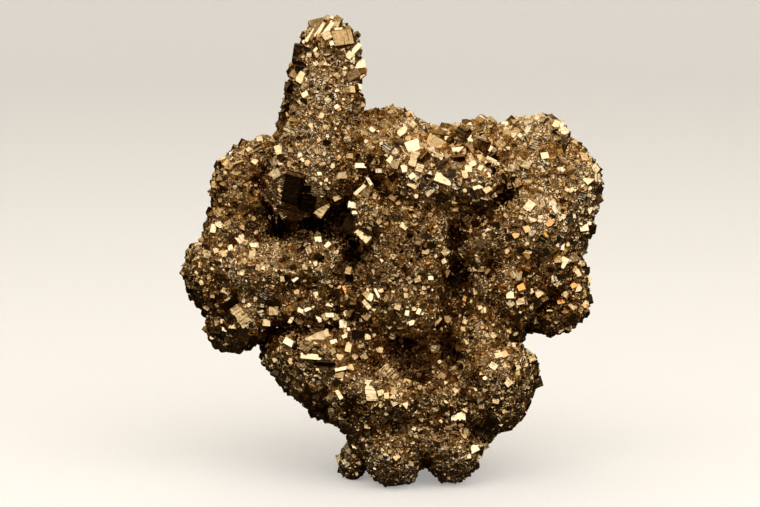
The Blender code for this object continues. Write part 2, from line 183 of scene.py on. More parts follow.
# The crystals that stand out, as slabs let into the skin: across, down, long, wide, the way the outer face looks (right
# and up on the sheet), the turn of its long side (degrees, anticlockwise), tone (below 0: rust), form.
SLABS = [
    # the finger's cap
    (318, 23, 18, 8, 0.02, 0.62, 18, 0.30, "slab"),
    (307, 30, 14, 10, -0.44, 0.40, 40, 0.14, "slab"),
    (303, 40, 20, 13, -0.46, 0.16, 70, 0.07, "slab"),
    (299, 54, 20, 12, -0.50, 0.00, 80, 0.06, "slab"),
    (304, 46, 16, 9, -0.34, -0.08, 70, 0.10, "block"),
    (311, 36, 17, 4, 0.08, 0.38, 58, 0.80, "cube"),
    (315, 34, 18, 4, -0.35, 0.30, 60, 0.20, "cube"),
    (320, 31, 19, 4, 0.14, 0.34, 60, 0.85, "cube"),
    (324, 31, 20, 4, 0.50, -0.05, 58, 0.14, "cube"),
    (328, 30, 20, 5, 0.12, 0.38, 60, 0.95, "cube"),
    (343, 38, 23, 17, 0.43, 0.16, 14, 0.34, "slab"),
    (338, 32, 9, 7, 0.20, 0.36, 10, 0.95, "block"),
    (333, 43, 8, 6, 0.13, 0.34, 20, 1.00, "block"),
    (334, 20, 9, 3, 0.12, 0.40, -22, 1.00, "cube"),
    (350, 42, 26, 6, 0.48, -0.10, 42, 0.18, "cube"),
    (346, 46, 18, 3, 0.20, 0.36, 42, 0.55, "cube"),
    (355, 50, 17, 6, 0.20, 0.36, 52, 0.95, "block"),
    (349, 56, 9, 6, 0.16, 0.38, 55, 0.85, "block"),
    (361, 40, 16, 8, 0.60, 0.20, 68, 0.20, "block"),
    (363, 52, 14, 7, 0.70, 0.10, 85, 0.25, "block"),
    (340, 56, 12, 9, 0.36, -0.05, 20, 0.15, "block"),
    (306, 45, 10, 4, 0.10, 0.36, -55, 1.00, "cube"),
    (316, 50, 7, 3, 0.16, 0.30, 50, 0.90, "cube"),
    # its sides
    (301, 67, 13, 11, -0.50, -0.10, 82, 0.05, "block"),
    (301, 78, 12, 9, 0.05, 0.34, 60, 0.75, "block"),
    (298, 88, 9, 9, -0.35, 0.00, 40, 0.28, "block"),
    (290, 97, 13, 9, -0.56, 0.00, 80, 0.06, "block"),
    (294, 108, 9, 8, -0.30, 0.20, 20, 0.15, "block"),
    (281, 108, 7, 6, -0.35, 0.42, 30, 0.80, "block"),
    (359, 64, 12, 9, 0.22, 0.36, 12, 0.95, "block"),
    (351, 76, 14, 9, 0.35, 0.10, 30, 0.14, "block"),
    (360, 76, 9, 7, 0.22, 0.34, 40, 0.50, "block"),
    (356, 87, 10, 7, 0.16, 0.38, -8, 1.00, "cube"),
    (346, 90, 8, 7, 0.30, 0.05, 30, 0.30, "block"),
    (363, 99, 9, 5, 0.30, 0.34, 75, 0.95, "cube"),
    (356, 105, 15, 10, 0.50, 0.00, 80, 0.18, "block"),
    (305, 95, 7, 6, 0.10, 0.36, 30, 0.95, "block"),
    (336, 107, 6, 5, 0.15, 0.38, 40, 1.00, "block"),
    (332, 60, 9, 7, 0.36, 0.00, 30, 0.25, "block"),
    # under the finger
    (294, 188, 32, 19, -0.42, -0.15, 78, 0.03, "slab"),
    (309, 198, 27, 16, 0.34, -0.22, 82, 0.06, "step"),
    (291, 209, 34, 5, 0.00, -0.30, -18, -0.30, "cube"),
    (321, 209, 17, 10, 0.34, 0.10, 55, 0.50, "step"),
    (319, 174, 5, 5, 0.15, 0.36, 20, 1.00, "block"),
    (340, 176, 14, 8, 0.10, 0.12, 8, 0.50, "block"),
    (360, 166, 12, 6, 0.14, 0.38, 3, 1.00, "cube"),
    (383, 171, 14, 5, 0.16, 0.36, 4, 1.00, "cube"),
    (382, 177, 16, 5, 0.00, -0.40, 3, 0.08, "cube"),
    (368, 181, 14, 4, 0.16, 0.38, -60, 0.95, "cube"),
    (360, 191, 15, 4, 0.13, 0.33, 45, 0.80, "cube"),
    (355, 206, 12, 7, 0.16, 0.38, -8, 1.00, "plates"),
    (357, 213, 9, 4, 0.16, 0.38, 5, 1.00, "cube"),
    (353, 226, 21, 15, -0.20, -0.15, -35, 0.38, "step"),
    (364, 234, 15, 11, 0.16, 0.26, -40, 0.80, "plates"),
    (371, 224, 12, 7, 0.40, 0.00, 60, 0.30, "block"),
    # the head
    (413, 148, 18, 13, 0.16, 0.38, 24, 1.00, "cube"),
    (413, 160, 14, 9, 0.20, 0.24, 75, 0.60, "plates"),
    (399, 146, 13, 10, -0.45, 0.10, 60, 0.12, "slab"),
    (425, 159, 12, 10, 0.55, -0.10, 40, 0.10, "slab"),
    (435, 145, 22, 15, 0.40, 0.14, -24, 0.40, "slab"),
    (433, 133, 22, 6, 0.05, 0.80, -14, 0.16, "slab"),
    (447, 139, 6, 5, 0.15, 0.36, 0, 0.95, "block"),
    (461, 137, 20, 13, -0.48, 0.10, 62, 0.08, "slab"),
    (470, 140, 11, 6, 0.15, 0.37, -70, 0.95, "cube"),
    (476, 131, 12, 6, -0.10, 0.70, 30, 0.15, "slab"),
    (458, 151, 14, 8, 0.16, 0.36, 12, 1.00, "cube"),
    (458, 160, 14, 8, 0.10, -0.30, 5, 0.20, "slab"),
    (482, 148, 17, 12, -0.40, 0.00, 70, 0.08, "slab"),
    (486, 143, 8, 3, 0.15, 0.38, -40, 1.00, "cube"),
    (490, 149, 7, 4, 0.12, 0.34, 55, 1.00, "cube"),
    (491, 159, 12, 9, 0.55, -0.10, 30, 0.08, "slab"),
    (479, 158, 6, 5, 0.16, 0.30, 10, -0.35, "block"),
    (443, 164, 14, 8, 0.50, 0.00, 15, 0.12, "slab"),
    (391, 160, 10, 8, 0.16, 0.36, 50, 0.85, "block"),
    (395, 175, 12, 9, 0.45, -0.15, 30, 0.15, "slab"),
    (405, 169, 9, 8, 0.16, 0.38, 15, 0.90, "block"),
    (412, 177, 8, 6, 0.13, 0.35, 40, 0.95, "block"),
    (443, 179, 18, 10, 0.20, 0.28, -18, 0.85, "step"),
    (472, 165, 7, 6, 0.15, 0.36, 30, 0.95, "block"),
    (480, 169, 7, 6, 0.20, 0.30, 60, 0.85, "block"),
    (487, 176, 7, 6, 0.16, 0.36, 10, 0.95, "block"),
    (478, 187, 11, 5, 0.14, 0.38, 20, 0.90, "block"),
    (495, 165, 8, 4, 0.16, 0.36, 10, 0.90, "cube"),
    (492, 171, 8, 6, 0.60, -0.10, 60, 0.06, "block"),
    (402, 132, 12, 8, 0.15, 0.38, 40, 0.80, "block"),
    (505, 125, 8, 7, 0.16, 0.36, 25, 1.00, "block"),
    (470, 126, 6, 5, 0.15, 0.36, 25, 0.80, "block"),
    (425, 128, 8, 5, 0.10, 0.60, 10, 0.30, "block"),
    # the right
    (556, 126, 10, 8, 0.16, 0.38, 60, 0.80, "block"),
    (563, 132, 9, 7, 0.16, 0.34, 30, 0.90, "block"),
    (544, 157, 8, 8, 0.15, 0.36, 12, 0.95, "cube"),
    (589, 155, 12, 6, 0.16, 0.36, 0, 0.90, "block"),
    (583, 228, 11, 9, 0.16, 0.38, 12, 1.00, "block"),
    (571, 190, 7, 5, 0.20, 0.34, 40, 0.75, "block"),
    (516, 235, 8, 6, 0.16, 0.36, 30, -0.85, "block"),
    (527, 229, 9, 7, 0.16, 0.36, 25, -0.45, "block"),
    (562, 263, 12, 9, 0.16, 0.36, 60, 0.90, "block"),
    (520, 287, 9, 8, 0.16, 0.36, 20, -0.95, "block"),
    (510, 295, 9, 8, 0.15, 0.34, 5, 0.85, "block"),
    (536, 291, 12, 9, 0.20, 0.34, 130, 0.75, "plates"),
    (519, 302, 10, 8, 0.10, 0.20, 15, 0.60, "block"),
    (519, 312, 12, 10, 0.20, 0.20, 20, 0.80, "eight"),
    (560, 301, 8, 7, 0.20, 0.36, 15, -0.80, "block"),
    (573, 286, 8, 7, 0.10, 0.36, 30, -0.90, "block"),
    (549, 309, 8, 7, 0.20, 0.36, 10, -0.50, "block"),
    (583, 306, 7, 6, 0.20, 0.36, 25, -0.70, "block"),
    # the left
    (214, 229, 10, 6, 0.00, 0.38, 80, 0.95, "block"),
    (241, 239, 9, 10, 0.16, 0.36, 40, 0.95, "plates"),
    (254, 246, 9, 6, 0.14, 0.38, 0, 0.95, "block"),
    (255, 251, 8, 7, 0.20, 0.10, 10, -0.45, "block"),
    (231, 249, 6, 6, 0.16, 0.36, 20, 0.95, "block"),
    (216, 251, 6, 6, -0.10, 0.40, 20, -0.15, "block"),
    (309, 245, 9, 8, 0.15, 0.37, 30, 0.95, "eight"),
    (318, 241, 7, 6, 0.15, 0.37, 10, 0.95, "block"),
    (327, 246, 7, 5, 0.15, 0.34, 50, 0.90, "block"),
    (285, 262, 16, 4, -0.30, -0.05, 88, 0.55, "cube"),
    (285, 279, 10, 7, 0.30, -0.20, 60, 0.05, "block"),
    (262, 303, 9, 4, 0.16, 0.38, 85, 1.00, "cube"),
    (227, 291, 9, 7, 0.10, 0.20, -30, 0.55, "plates"),
    (232, 305, 20, 13, -0.30, -0.20, 38, 0.20, "step"),
    (241, 316, 22, 12, 0.10, 0.12, -52, 0.50, "plates"),
    (296, 279, 9, 3, 0.16, 0.36, 42, 1.00, "cube"),
    # the row under the left middle
    (302, 311, 9, 6, 0.16, 0.36, 155, 0.95, "plates"),
    (308, 309, 8, 4, 0.14, 0.38, 30, 1.00, "cube"),
    (317, 316, 14, 4, 0.14, 0.36, -62, 0.90, "cube"),
    (320, 316, 9, 5, 0.16, 0.36, 65, 1.00, "block"),
    (307, 323, 9, 4, 0.14, 0.36, -50, 0.95, "cube"),
    (291, 319, 10, 4, 0.16, 0.36, 65, 0.90, "cube"),
    (329, 305, 8, 4, 0.16, 0.38, -10, 1.00, "cube"),
    (330, 315, 9, 6, 0.14, 0.38, 3, 1.00, "block"),
    (331, 321, 7, 5, 0.20, 0.00, 20, -0.55, "block"),
    (344, 323, 9, 12, 0.14, 0.36, 2, 1.00, "plates"),
    (347, 313, 7, 7, 0.16, 0.32, 20, -0.12, "block"),
    (355, 324, 5, 4, 0.16, 0.38, 30, 1.00, "cube"),
    (362, 320, 5, 5, 0.15, 0.37, 10, 1.00, "block"),
    (349, 330, 4, 4, 0.15, 0.37, 10, 1.00, "cube"),
    (371, 298, 10, 6, 0.16, 0.36, 62, 1.00, "cube"),
    (367, 305, 10, 5, 0.16, 0.30, -50, 0.70, "plates"),
    (377, 294, 11, 3, 0.15, 0.37, -65, 1.00, "cube"),
    (394, 333, 14, 8, 0.10, 0.05, 70, -0.35, "block"),
    (407, 313, 8, 5, 0.16, 0.36, 80, 0.95, "block"),
    (418, 311, 7, 5, 0.14, 0.36, 70, 0.90, "block"),
    (411, 322, 7, 7, 0.16, 0.34, 20, 0.90, "block"),
    # the lower left
    (291, 344, 18, 7, 0.12, 0.40, -28, 1.00, "block"),
    (318, 338, 26, 9, 0.16, 0.20, 24, 0.62, "step"),
    (333, 342, 8, 5, 0.15, 0.36, 20, 1.00, "block"),
    (345, 337, 6, 5, 0.15, 0.37, 30, 1.00, "cube"),
    (348, 348, 13, 6, 0.16, 0.36, 80, -0.15, "block"),
    (358, 335, 16, 9, 0.00, -0.15, 5, 0.35, "block"),
    (311, 357, 21, 6, 0.14, 0.40, -3, 0.85, "step"),
    (325, 363, 21, 5, 0.00, -0.45, -4, 0.06, "cube"),
    (341, 369, 13, 4, 0.15, 0.38, 14, 1.00, "cube"),
    (371, 390, 20, 12, 0.18, 0.33, 92, 0.85, "plates"),
    (390, 377, 24, 15, 0.42, 0.10, -48, 0.50, "plates"),
    (381, 393, 7, 6, 0.16, 0.28, 20, -0.15, "block"),
    (307, 394, 15, 8, -0.20, -0.25, 50, 0.30, "plates"),
    (339, 395, 10, 5, 0.16, 0.34, -60, 0.90, "block"),
    (325, 392, 12, 9, -0.15, -0.20, 40, 0.30, "plates"),
    # the lower right and the feet
    (457, 415, 13, 11, 0.16, 0.38, 4, 1.00, "plates"),
    (473, 449, 12, 8, 0.14, 0.38, 30, 1.00, "block"),
    (490, 421, 20, 13, 0.50, -0.20, 55, 0.20, "step"),
    (480, 430, 12, 8, 0.40, -0.10, 40, 0.30, "block"),
    (498, 356, 8, 6, 0.16, 0.36, 15, 0.75, "block"),
    (516, 368, 8, 6, 0.30, 0.30, 35, 0.65, "block"),
    (430, 278, 6, 6, 0.15, 0.37, 4, 1.00, "cube"),
    (345, 405, 11, 8, -0.20, -0.20, 30, 0.25, "plates"),
    (356, 447, 7, 5, 0.10, 0.40, 5, 0.90, "block"),
    (345, 462, 6, 5, 0.10, 0.38, 25, 0.90, "block"),
    (224, 160, 8, 6, 0.00, 0.42, 15, 0.60, "block"),
    (249, 150, 7, 5, 0.15, 0.42, 40, 0.60, "block"),
]
# Zones of the front where the druse is coarser or finer: across, down, reach across, reach down, usual crystal width.
ZONES = [
    (328, 40, 38, 26, 5.5),
    (292, 90, 14, 50, 4.6),
    (322, 110, 26, 44, 2.3),
    (310, 165, 34, 30, 2.6),
    (440, 146, 60, 20, 7.0),
    (400, 130, 34, 20, 5.0),
    (430, 185, 50, 26, 3.8),
    (400, 265, 36, 60, 2.4),
    (530, 160, 80, 52, 5.8),
    (540, 235, 46, 40, 4.9),
    (562, 295, 36, 40, 5.8),
    (240, 180, 40, 46, 4.6),
    (225, 275, 40, 40, 2.4),
    (270, 265, 50, 30, 2.2),
    (320, 265, 36, 36, 2.4),
    (320, 312, 44, 16, 6.5),
    (245, 318, 40, 26, 5.0),
    (320, 370, 70, 36, 4.0),
    (400, 400, 60, 30, 2.8),
    (490, 370, 50, 50, 2.8),
    (410, 455, 90, 36, 2.4),
    (485, 290, 30, 50, 2.4),
]
# Patches of the front painted paler (+) or darker (-) than the rest: painted light where the lighting falls brighter
# and painted shade where it falls dimmer, as under the head, the finger and the tongue. Columns: across, down, reach
# across, reach down, by how much.
PAINTED_LIGHT_AND_SHADE = [
    (555, 234, 30, 28, 0.34),
    (350, 275, 24, 20, -0.12),
    (300, 38, 8, 16, -0.60),
    (324, 92, 22, 52, 0.30),
    (300, 150, 30, 24, 0.14),
    (291, 82, 10, 60, -0.50),
    (360, 95, 6, 26, -0.25),
    (250, 262, 40, 24, 0.20),
    (190, 285, 20, 44, -0.34),
    (228, 185, 34, 44, -0.16),
    (450, 178, 46, 16, 0.34),
    (465, 212, 40, 10, -0.30),
    (498, 184, 8, 22, -0.40),
    (540, 130, 60, 26, 0.34),
    (545, 200, 50, 40, 0.40),
    (560, 300, 34, 30, -0.12),
    (322, 222, 26, 20, -0.55),
    (352, 258, 10, 28, -0.45),
    (450, 270, 14, 38, -0.30),
    (408, 360, 28, 18, -0.55),
    (350, 372, 40, 24, 0.20),
    (330, 412, 26, 14, -0.25),
    (392, 238, 34, 26, -0.22),
    (400, 288, 34, 26, -0.12),
    (480, 440, 20, 20, -0.30),
    (410, 456, 70, 28, 0.34),
    (412, 408, 40, 14, 0.12),
    (372, 282, 16, 30, -0.14),
    (428, 376, 34, 16, -0.42),
    (566, 236, 22, 20, 0.22),
    (450, 144, 44, 14, -0.42),
    (500, 222, 20, 20, 0.12),
    (485, 330, 26, 26, 0.05),
]
BACK_WIDTH = 5.8  # crystal width on the sides and the back, which the front view doesn't show


# ---------------------------------------------------------------- layout and world
def place(across, down, back):
    f = 1.0 + back / EYE_BACK
    a = EYE_ACROSS + (across - EYE_ACROSS) * f - FOOT_ACROSS
    u = FOOT_DOWN - EYE_DOWN - (down - EYE_DOWN) * f
    y = u * math.sin(LEAN) + back * math.cos(LEAN)
    z = u * math.cos(LEAN) - back * math.sin(LEAN) - SEAT
    return Vector((a, y, z)) * GRID - ORIGIN


def place_all(p):
    f = 1.0 + p[:, 2] / EYE_BACK
    a = EYE_ACROSS + (p[:, 0] - EYE_ACROSS) * f - FOOT_ACROSS
    u = FOOT_DOWN - EYE_DOWN - (p[:, 1] - EYE_DOWN) * f
    y = u * math.sin(LEAN) + p[:, 2] * math.cos(LEAN)
    z = u * math.cos(LEAN) - p[:, 2] * math.sin(LEAN) - SEAT
    return np.stack([a, y, z], axis=1) * GRID - np.array(ORIGIN)


def layout_all(q):
    """World points as across, down, back."""
    q = (q + np.array(ORIGIN)) / GRID
    y, z = q[:, 1], q[:, 2] + SEAT
    u = y * math.sin(LEAN) + z * math.cos(LEAN)
    back = y * math.cos(LEAN) - z * math.sin(LEAN)
    f = 1.0 + back / EYE_BACK
    across = EYE_ACROSS + (q[:, 0] + FOOT_ACROSS - EYE_ACROSS) / f
    return np.stack([across, EYE_DOWN + (FOOT_DOWN - EYE_DOWN - u) / f, back], axis=1)


# ---------------------------------------------------------------- the distance field, as in the CAD part
def window(axes, centre, reach):
    return tuple(slice(*np.searchsorted(ax, (c - r, c + r))) for ax, c, r in zip(axes, centre, reach))


def ellipsoid_field(axes, cut, centre, halves, turn):
    a, d, b = (ax[s] - c for ax, s, c in zip(axes, cut, centre))
    a, d, b = a[:, None, None], d[None, :, None], b[None, None, :]
    t = math.radians(turn)
    w, h = a * math.cos(t) + d * math.sin(t), d * math.cos(t) - a * math.sin(t)
    w, h, b = w / halves[0], h / halves[1], b / halves[2]
    k0 = np.sqrt(w * w + h * h + b * b) + 1e-6
    k1 = np.sqrt((w / halves[0]) ** 2 + (h / halves[1]) ** 2 + (b / halves[2]) ** 2) + 1e-6
    return k0 * (k0 - 1.0) / k1


def cone_field(axes, cut, first, last):
    p0, p1 = np.array(first[:3], np.float32), np.array(last[:3], np.float32)
    a, d, b = (ax[s] - c for ax, s, c in zip(axes, cut, p0))
    a, d, b = a[:, None, None], d[None, :, None], b[None, None, :]
    n = p1 - p0
    t = np.clip((a * n[0] + d * n[1] + b * n[2]) / float(n @ n), 0.0, 1.0)
    r = first[3] + (last[3] - first[3]) * t
    return np.sqrt((a - n[0] * t) ** 2 + (d - n[1] * t) ** 2 + (b - n[2] * t) ** 2) - r


def blend(a, b, reach):
    h = np.maximum(reach - np.abs(a - b), 0.0) / reach
    return np.minimum(a, b) - h * h * reach * 0.25


def lobes_field(axes):
    field = np.full([len(ax) for ax in axes], 24.0, np.float32)
    for _, across, down, back, w, h, d, turn in LOBES:
        cut = window(axes, (across, down, back), [max(w, h, d) + 24.0] * 3)
        shape = ellipsoid_field(axes, cut, (across, down, back), (w, h, d), turn)
        field[cut] = blend(field[cut], shape, BLEND)
    for first, last in zip(FINGER, FINGER[1:]):
        middle = [(p + q) / 2 for p, q in zip(first, last)]
        cut = window(axes, middle[:3], [middle[3] + 40.0] * 3)
        field[cut] = blend(field[cut], cone_field(axes, cut, first, last), 3.0)
    for _, across, down, back, w, h, d, turn in HOLLOWS:
        cut = window(axes, (across, down, back), [max(w, h, d) + 12.0] * 3)
        shape = ellipsoid_field(axes, cut, (across, down, back), (w, h, d), turn)
        field[cut] = -blend(-field[cut], shape, BLEND)
    return field


def uneven(field, axes):
    near = np.argwhere(np.abs(field) < 14.0)
    spots = np.stack([ax[near[:, k]] for k, ax in enumerate(axes)], axis=1)
    out = np.zeros(len(near), np.float32)
    for i, spot in enumerate(spots.tolist()):
        p = Vector(spot)
        total = SWELL[1] * noise.noise(p / SWELL[0])
        warped = p + 4.0 * noise.noise_vector(p / 18.0)
        for spacing, height in COBBLES:
            away = noise.voronoi(warped / spacing)[0][0]
            total += height * (0.62 - min(away, 1.0))
        for wave, height in ROUGH:
            total += height * noise.noise(p / wave)
        out[i] = total
    field[tuple(near.T)] -= out
    return field


axes = [np.arange(lo, hi + CELL, CELL, dtype=np.float32) for lo, hi in zip(*FIELD)]
grid = openvdb.FloatGrid(24.0)
field = uneven(lobes_field(axes), axes) + np.float32(SKIN)
grid.copyFromArray(field)
points, quads = grid.convertToQuads(0.0)
# the quads come in no fixed order, so points and quads are put in one
order = np.lexsort(np.round(points.astype(float), 4).T)
points, quads = points[order], np.argsort(order)[quads.astype(np.int64)]
lead = quads.argmin(axis=1)
quads = np.stack([quads[np.arange(len(quads)), (lead + k) % 4] for k in range(4)], axis=1)
quads = quads[np.lexsort(quads.T[::-1])]
steps = points.astype(float)  # in cells of the field
points = place_all(points * CELL + np.array([ax[0] for ax in axes]))
points[:, 2] = np.maximum(points[:, 2], 0.0)  # the flat seat
tris = np.concatenate([quads[:, [0, 1, 2]], quads[:, [0, 2, 3]]]).astype(np.int64)
if np.einsum("ij,ij->i", points[tris[:, 0]], np.cross(points[tris[:, 1]], points[tris[:, 2]])).sum() < 0:
    tris, quads = tris[:, ::-1], quads[:, ::-1]


def fill_mesh(name, verts, loops, sizes):
    """A mesh from arrays: its points, each face's points in a row, and how many each face has."""
    mesh = bpy.data.meshes.new(name)
    mesh.vertices.add(len(verts))
    mesh.vertices.foreach_set("co", np.asarray(verts, np.float32).ravel())
    mesh.loops.add(len(loops))
    mesh.loops.foreach_set("vertex_index", np.asarray(loops, np.int32))
    mesh.polygons.add(len(sizes))
    starts = np.concatenate([[0], np.cumsum(sizes)[:-1]]).astype(np.int32)
    mesh.polygons.foreach_set("loop_start", starts)
    mesh.polygons.foreach_set("loop_total", np.asarray(sizes, np.int32))
    mesh.update(calc_edges=True)
    mesh.shade_flat()
    return mesh


def show(mesh, name, material):
    obj = bpy.data.objects.new(name, mesh)
    bpy.context.scene.collection.objects.link(obj)
    mesh.materials.append(material)
    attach(obj, "root")
    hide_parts("pyrite_cluster")
    return obj


# ---------------------------------------------------------------- materials
def principled(name, metallic=1.0):
    mat = bpy.data.materials.new(name)
    mat.use_nodes = True
    nt = mat.node_tree
    b = nt.nodes["Principled BSDF"]
    b.inputs["Metallic"].default_value = metallic
    return mat, nt, b


def node(nt, kind, **values):
    n = nt.nodes.new(kind)
    for k, v in values.items():
        if hasattr(n, k) and k not in n.inputs:
            setattr(n, k, v)
        else:
            n.inputs[k].default_value = v
    return n


def ramp(nt, source, stops):
    r = nt.nodes.new("ShaderNodeValToRGB")
    nt.links.new(source, r.inputs["Fac"])
    e = r.color_ramp.elements
    while len(e) < len(stops):
        e.new(0.5)
    for k, (at, colour) in zip(e, stops):
        k.position, k.color = at, (*colour, 1) if len(colour) == 3 else colour
    return r


def span(nt, source, lo, hi, to_lo, to_hi):
    m = nt.nodes.new("ShaderNodeMapRange")
    nt.links.new(source, m.inputs["Value"])
    for key, v in zip(("From Min", "From Max", "To Min", "To Max"), (lo, hi, to_lo, to_hi)):
        m.inputs[key].default_value = v
    return m


def mix(nt, kind, fac, a, b):
    m = nt.nodes.new("ShaderNodeMix")
    m.data_type, m.blend_type = "RGBA", kind
    for sock, v in ((m.inputs[0], fac), (m.inputs[6], a), (m.inputs[7], b)):
        if isinstance(v, (float, tuple)):
            sock.default_value = v
        else:
            nt.links.new(v, sock)
    return m.outputs[2]


def crystal_material():
    mat, nt, b = principled("pyrite_crystals")
    b.inputs["Specular Tint"].default_value = (0.50, 0.34, 0.18, 1.0)
    tone = node(nt, "ShaderNodeAttribute", attribute_name="tone").outputs["Fac"]
    rust = node(nt, "ShaderNodeAttribute", attribute_name="rust").outputs["Fac"]
    facet = node(nt, "ShaderNodeAttribute", attribute_name="facet").outputs["Fac"]
    grain = node(nt, "ShaderNodeAttribute", attribute_name="grain").outputs["Fac"]
    place_in = node(nt, "ShaderNodeTexCoord").outputs["Object"]
    # the tone attribute is each crystal's own shade of colour, with painted shade in crevices and the painted light and
    # shade of the patches added to it
    base = ramp(nt, tone, [
        (0.00, (0.10, 0.050, 0.017)),
        (0.20, (0.34, 0.205, 0.085)),
        (0.42, (0.64, 0.44, 0.205)),
        (0.75, (0.81, 0.62, 0.35)),
        (1.00, (0.91, 0.75, 0.50)),
    ])
    cloud = node(nt, "ShaderNodeTexNoise", Scale=900.0, Detail=3.0)
    nt.links.new(place_in, cloud.inputs["Vector"])
    stain = ramp(nt, cloud.outputs["Fac"], [(0.30, (0.62, 0.52, 0.42)), (0.52, (1, 1, 1)), (1.0, (1, 1, 1))])
    colour = mix(nt, "MULTIPLY", 0.55, base.outputs["Color"], stain.outputs["Color"])
    colour = mix(nt, "MIX", rust, colour, (0.80, 0.36, 0.09, 1.0))
    nt.links.new(colour, b.inputs["Base Color"])
    rough = span(nt, facet, 0.0, 1.0, 0.07, 0.30)
    nt.links.new(rough.outputs["Result"], b.inputs["Roughness"])
    lines = node(nt, "ShaderNodeTexNoise", noise_dimensions="1D", Scale=0.55, Detail=2.0, Roughness=0.7)
    nt.links.new(grain, lines.inputs["W"])
    fine = node(nt, "ShaderNodeTexNoise", Scale=3500.0, Detail=2.0)
    nt.links.new(place_in, fine.inputs["Vector"])
    bump_lines = node(nt, "ShaderNodeBump", Strength=0.8, Distance=0.00012)
    nt.links.new(lines.outputs["Fac"], bump_lines.inputs["Height"])
    wave = node(nt, "ShaderNodeTexNoise", Scale=750.0, Detail=1.0)
    nt.links.new(place_in, wave.inputs["Vector"])
    bump_wave = node(nt, "ShaderNodeBump", Strength=0.7, Distance=0.00036)
    nt.links.new(wave.outputs["Fac"], bump_wave.inputs["Height"])
    nt.links.new(bump_lines.outputs["Normal"], bump_wave.inputs["Normal"])
    bump = node(nt, "ShaderNodeBump", Strength=0.12, Distance=0.00004)
    nt.links.new(fine.outputs["Fac"], bump.inputs["Height"])
    nt.links.new(bump_wave.outputs["Normal"], bump.inputs["Normal"])
    nt.links.new(bump.outputs["Normal"], b.inputs["Normal"])
    return mat


def ground_material():
    mat, nt, b = principled("pyrite_ground")
    b.inputs["Specular Tint"].default_value = (0.50, 0.34, 0.18, 1.0)
    place_in = node(nt, "ShaderNodeTexCoord").outputs["Object"]
    cells = node(nt, "ShaderNodeTexVoronoi", Scale=2400.0)
    nt.links.new(place_in, cells.inputs["Vector"])
    base = ramp(nt, cells.outputs["Distance"], [(0.0, (0.62, 0.44, 0.22)), (0.5, (0.42, 0.27, 0.12)), (1.0, (0.16, 0.09, 0.04))])
    # painted shade: the ground's colour is darkened where the skin is least open, in crevices and hollows
    free = node(nt, "ShaderNodeAttribute", attribute_name="open").outputs["Fac"]
    shade = ramp(nt, free, [(0.0, (0.22, 0.17, 0.13)), (0.6, (0.75, 0.72, 0.70)), (1.0, (1.0, 1.0, 1.0))])
    colour = mix(nt, "MULTIPLY", 1.0, base.outputs["Color"], shade.outputs["Color"])
    nt.links.new(colour, b.inputs["Base Color"])
    rough = span(nt, cells.outputs["Distance"], 0.0, 0.8, 0.25, 0.55)
    nt.links.new(rough.outputs["Result"], b.inputs["Roughness"])
    bump = node(nt, "ShaderNodeBump", Strength=0.9, Distance=0.0003, invert=True)
    nt.links.new(cells.outputs["Distance"], bump.inputs["Height"])
    nt.links.new(bump.outputs["Normal"], b.inputs["Normal"])
    return mat


# how open the skin is at each point: the free room some way out from it, 0 in a crevice and 1 on a knob. It drives
# painted shade: the ground and the crystals are coloured darker where it is low
corner_a, corner_b, corner_c = points[tris[:, 0]], points[tris[:, 1]], points[tris[:, 2]]
cross = np.cross(corner_b - corner_a, corner_c - corner_a)
area = np.linalg.norm(cross, axis=1) / 2
vert_normals = np.zeros_like(points)
for k in range(3):
    np.add.at(vert_normals, tris[:, k], cross)
vert_normals /= np.maximum(np.linalg.norm(vert_normals, axis=1), 1e-12)[:, None]


def field_at(q):
    """The field at places given in its cells."""
    q = np.clip(q, 0, np.array(field.shape) - 1.001)
    i = q.astype(int)
    t = q - i
    total = np.zeros(len(q))
    for a in (0, 1):
        for b in (0, 1):
            for c in (0, 1):
                w = np.abs(1 - a - t[:, 0]) * np.abs(1 - b - t[:, 1]) * np.abs(1 - c - t[:, 2])
                total += w * field[i[:, 0] + a, i[:, 1] + b, i[:, 2] + c]
    return total


slope = np.stack(np.gradient(field), axis=3)
at = np.clip(np.round(steps).astype(int), 0, np.array(field.shape) - 1)
outward = slope[at[:, 0], at[:, 1], at[:, 2]].astype(float)
outward /= np.maximum(np.linalg.norm(outward, axis=1), 1e-6)[:, None]
openness = np.zeros(len(points))
for reach in (9.0, 18.0):
    openness += 0.5 * np.clip(field_at(steps + outward * reach / CELL) / reach, 0.0, 1.0)
openness = np.clip((openness - 0.35) / 0.6, 0.0, 1.0)
print("openness", np.percentile(openness, [5, 25, 50, 75, 95]).round(2))

crystals_mat = crystal_material()
ground = fill_mesh("pyrite_ground", points, quads.ravel(), np.full(len(quads), 4))
ground.attributes.new("open", "FLOAT", "POINT").data.foreach_set("value", openness.astype(np.float32))
show(ground, "pyrite_ground", ground_material())


# ---------------------------------------------------------------- crystal forms, each about one unit wide
def hull(corners):
    """The faces of a convex shape from its corners, each as a ring seen from outside."""
    v = np.array(corners, float)
    faces = {}
    n = len(v)
    for i in range(n):
        for j in range(i + 1, n):
            for k in range(j + 1, n):
                normal = np.cross(v[j] - v[i], v[k] - v[i])
                size = np.linalg.norm(normal)
                if size < 1e-9:
                    continue
                normal = normal / size
                away = (v - v[i]) @ normal
                if away.min() < -1e-6 and away.max() > 1e-6:
                    continue
                if away.max() > 1e-6:
                    normal = -normal
                faces[tuple(np.flatnonzero(np.abs(away) < 1e-6).tolist())] = normal
    rings = []
    for ring, normal in faces.items():
        middle = v[list(ring)].mean(0)
        x = v[ring[0]] - middle
        y = np.cross(normal, x)
        rings.append(sorted(ring, key=lambda q: math.atan2((v[q] - middle) @ y, (v[q] - middle) @ x)))
    return v, rings


CORNERS = [(x, y, z) for x in (-1, 1) for y in (-1, 1) for z in (-1, 1)]


